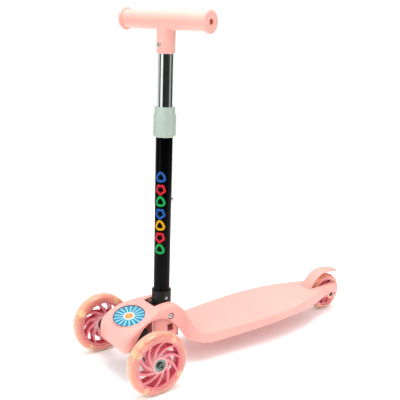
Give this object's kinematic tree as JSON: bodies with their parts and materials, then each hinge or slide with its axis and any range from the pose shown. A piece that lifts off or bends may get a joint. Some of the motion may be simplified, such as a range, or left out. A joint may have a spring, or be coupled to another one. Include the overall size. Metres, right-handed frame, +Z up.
{
  "type": "kick scooter",
  "caption": "Lean-to-steer toddler kick scooter with light-up wheels, a curved hood, a sprung fender brake, and a folding, height-adjustable T-handle column.",
  "frame": {"origin": "on the ground, under the middle of the scooter's overall box", "axes": "+Z up, -Y the way it rides, +X to the left of a rider who faces that way"},
  "size_m": [0.2234, 0.5673, 0.6181],
  "materials": {
    "shell_pink": "moulded polypropylene, pale pink, soft gloss",
    "hub_pink": "moulded polypropylene, deep pink, soft gloss",
    "clear_tyre": "cast polyurethane, translucent peach, smooth",
    "light_module": "small lamp modules potted in the tyre",
    "badge_print": "printed foil disc with a plain sunburst, gloss",
    "black_plastic": "glass-filled nylon, fine grain",
    "white_plastic": "acetal, natural white",
    "mint_plastic": "moulded ABS, pale mint, soft gloss",
    "black_paint": "gloss black powder coat on steel tube, with a printed pattern of coloured rings",
    "chrome": "polished chrome plate on steel tube",
    "bright_steel": "zinc plated",
    "spring_steel": "drawn spring wire",
    "alloy": "turned"
  },
  "bodies": {
    "deck": {"deck": "shell_pink", "hood_badge": "badge_print", "fold_bolt": "bright_steel", "fold_nut": "bright_steel", "rear_axle_bolt": "bright_steel", "rear_axle_nut": "bright_steel", "rear_washers": "bright_steel", "brake_pin": "bright_steel", "brake_spring": "spring_steel", "release_spring": "spring_steel", "kingpin": "bright_steel", "kingpin_nut": "bright_steel", "thrust_washer": "bright_steel", "centring_spring_left": "spring_steel", "centring_spring_right": "spring_steel"},
    "steering": {"steering_beam": "black_plastic", "beam_bush": "white_plastic", "axle_bolt_left": "bright_steel", "axle_nut_left": "bright_steel", "axle_washer_left": "bright_steel", "axle_bolt_right": "bright_steel", "axle_nut_right": "bright_steel", "axle_washer_right": "bright_steel"},
    "wheel_left": {"tyre_left": "clear_tyre", "hub_left": "hub_pink", "bearings_left": "bright_steel", "spacer_left": "alloy", "lights_left": "light_module"},
    "wheel_right": {"tyre_right": "clear_tyre", "hub_right": "hub_pink", "bearings_right": "bright_steel", "spacer_right": "alloy", "lights_right": "light_module"},
    "rear_wheel": {"rear_tyre": "clear_tyre", "rear_hub": "hub_pink", "rear_bearings": "bright_steel", "rear_spacer": "alloy", "rear_lights": "light_module"},
    "brake": {"brake_fender": "shell_pink"},
    "release": {"release_button": "black_plastic"},
    "column": {"knuckle": "black_plastic", "lower_tube": "black_paint", "socket_screw": "bright_steel", "collet": "white_plastic"},
    "collar": {"collar": "mint_plastic"},
    "mast": {"upper_tube": "chrome", "snap_spring": "spring_steel", "handle": "shell_pink", "end_cap_left": "shell_pink", "end_cap_right": "shell_pink", "handle_bolt": "bright_steel", "handle_nut": "bright_steel"},
    "snap": {"snap_button": "bright_steel"}
  },
  "joints": [
    {"name": "lean_steer", "type": "hinge", "parent": "deck", "child": "steering", "pos_m": [0, -0.22865, 0.055], "axis": [0, 0.6428, 0.766], "range_deg": [-10, 10], "stiffness_Nm_per_rad": 30, "deforming": ["centring_spring_left", "centring_spring_right"]},
    {"name": "left_wheel_spin", "type": "hinge", "parent": "steering", "child": "wheel_left", "pos_m": [-0.0965, -0.22865, 0.055], "axis": [1, 0, 0], "continuous": true},
    {"name": "right_wheel_spin", "type": "hinge", "parent": "steering", "child": "wheel_right", "pos_m": [0.0965, -0.22865, 0.055], "axis": [1, 0, 0], "continuous": true},
    {"name": "rear_wheel_spin", "type": "hinge", "parent": "deck", "child": "rear_wheel", "pos_m": [0, 0.24535, 0.0383], "axis": [1, 0, 0], "continuous": true},
    {"name": "brake_press", "type": "hinge", "parent": "deck", "child": "brake", "pos_m": [0, 0.20135, 0.0479], "axis": [-1, 0, 0], "range_deg": [0, 10], "stiffness_Nm_per_rad": 1.5, "springref_deg": -17.19, "deforming": ["brake_spring"]},
    {"name": "release_press", "type": "slide", "parent": "deck", "child": "release", "axis": [0, 0, -1], "range_m": [0, 0.005], "stiffness_N_per_m": 1000, "springref_m": -0.003, "deforming": ["release_spring"]},
    {"name": "fold", "type": "hinge", "parent": "deck", "child": "column", "pos_m": [0, -0.15815, 0.096], "axis": [-1, 0, 0], "range_deg": [0, 85]},
    {"name": "collar_twist", "type": "hinge", "parent": "column", "child": "collar", "pos_m": [0, -0.14832, 0.40885], "axis": [0, 0.0314, 0.9995], "range_deg": [0, 90]},
    {"name": "height", "type": "slide", "parent": "column", "child": "mast", "axis": [0, 0.0314, 0.9995], "range_m": [-0.04, 0.04], "deforming": ["snap_button"]},
    {"name": "snap_press", "type": "slide", "parent": "mast", "child": "snap", "axis": [0, -0.9995, 0.0314], "range_m": [0, 0.005], "stiffness_N_per_m": 600, "springref_m": -0.003, "deforming": ["snap_spring"]}
  ]
}
